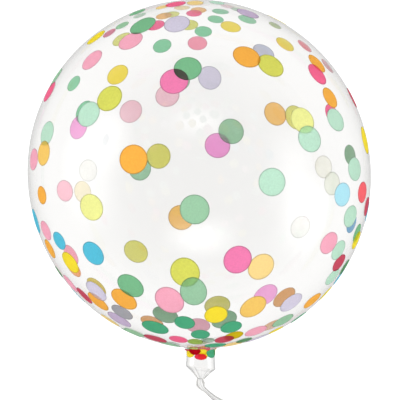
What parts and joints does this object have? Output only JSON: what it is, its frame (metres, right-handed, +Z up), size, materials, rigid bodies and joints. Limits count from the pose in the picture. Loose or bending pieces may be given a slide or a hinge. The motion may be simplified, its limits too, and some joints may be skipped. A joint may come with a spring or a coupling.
{
  "type": "clear bubble balloon",
  "caption": "Round clear film balloon with a short tied neck and a pleated tail, printed all over with coloured dots like confetti, lying on its side.",
  "frame": {"origin": "middle of the flat spot that the ball rests on, level with the floor", "axes": "+Z up, -Y from the ball's centre along the neck towards the knot, +X to the side that the tail bends to"},
  "size_m": [0.3997, 0.5026, 0.3987],
  "materials": {
    "clear_film": "glossy clear stretch film, seen through, with soft reflections",
    "dots_mint": "thin coloured printing ink on the film, matt, lets light through",
    "dots_green": "thin coloured printing ink on the film, matt, lets light through",
    "dots_lime": "thin coloured printing ink on the film, matt, lets light through",
    "dots_yellow": "thin coloured printing ink on the film, matt, lets light through",
    "dots_orange": "thin coloured printing ink on the film, matt, lets light through",
    "dots_pink": "thin coloured printing ink on the film, matt, lets light through",
    "dots_hot_pink": "thin coloured printing ink on the film, matt, lets light through",
    "dots_red": "thin coloured printing ink on the film, matt, lets light through",
    "dots_lavender": "thin coloured printing ink on the film, matt, lets light through",
    "dots_blue": "thin coloured printing ink on the film, matt, lets light through"
  },
  "bodies": {
    "root": {"balloon": "clear_film"}
  },
  "joints": []
}
